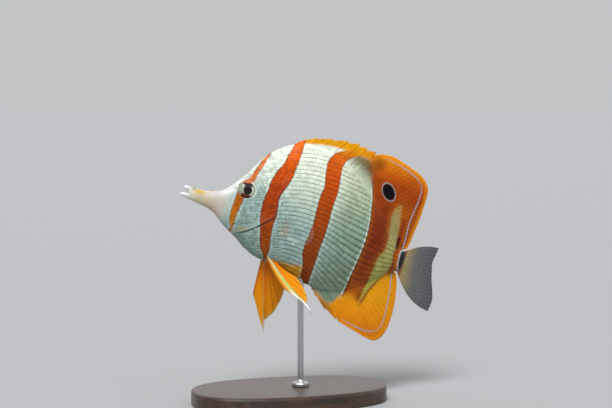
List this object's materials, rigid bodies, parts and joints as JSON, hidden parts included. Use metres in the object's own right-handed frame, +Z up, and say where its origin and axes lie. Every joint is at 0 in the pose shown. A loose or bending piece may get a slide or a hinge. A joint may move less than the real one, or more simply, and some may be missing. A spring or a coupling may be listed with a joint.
{
  "type": "copperband butterflyfish model",
  "caption": "Life-size still model of a long-snouted, deep-bodied banded reef fish with spread fins, held by a rod on a flat oval base.",
  "frame": {"origin": "centre of the display base's underside, at floor level", "axes": "+Z up; the snout points along -X and up, the fish's left side faces -Y and its tail sweeps towards +Y"},
  "size_m": [0.145, 0.058, 0.1389],
  "materials": {
    "scaled_skin": "small glossy scales, silver white with orange bands",
    "snout_skin": "smooth wet skin, pale",
    "orange_fin": "thin ribbed skin, orange",
    "clear_fin": "thin ribbed skin, nearly clear",
    "eye": "wet gloss",
    "base": "dark satin stain",
    "rod": "brushed"
  },
  "bodies": {
    "root": {"trunk": "scaled_skin", "head": "scaled_skin", "tail_base": "scaled_skin", "gill_cover_left": "scaled_skin", "gill_cover_right": "scaled_skin", "snout": "snout_skin", "jaw_upper": "snout_skin", "jaw_lower": "snout_skin", "eye_left": "eye", "eye_right": "eye", "dorsal_fin_spiny": "orange_fin", "dorsal_fin_soft": "orange_fin", "anal_fin": "orange_fin", "pelvic_fin_left": "orange_fin", "pelvic_fin_right": "orange_fin", "tail_fin": "clear_fin", "pectoral_fin_left": "clear_fin", "pectoral_fin_right": "clear_fin", "stand_base": "base", "stand_rod": "rod"}
  },
  "joints": []
}
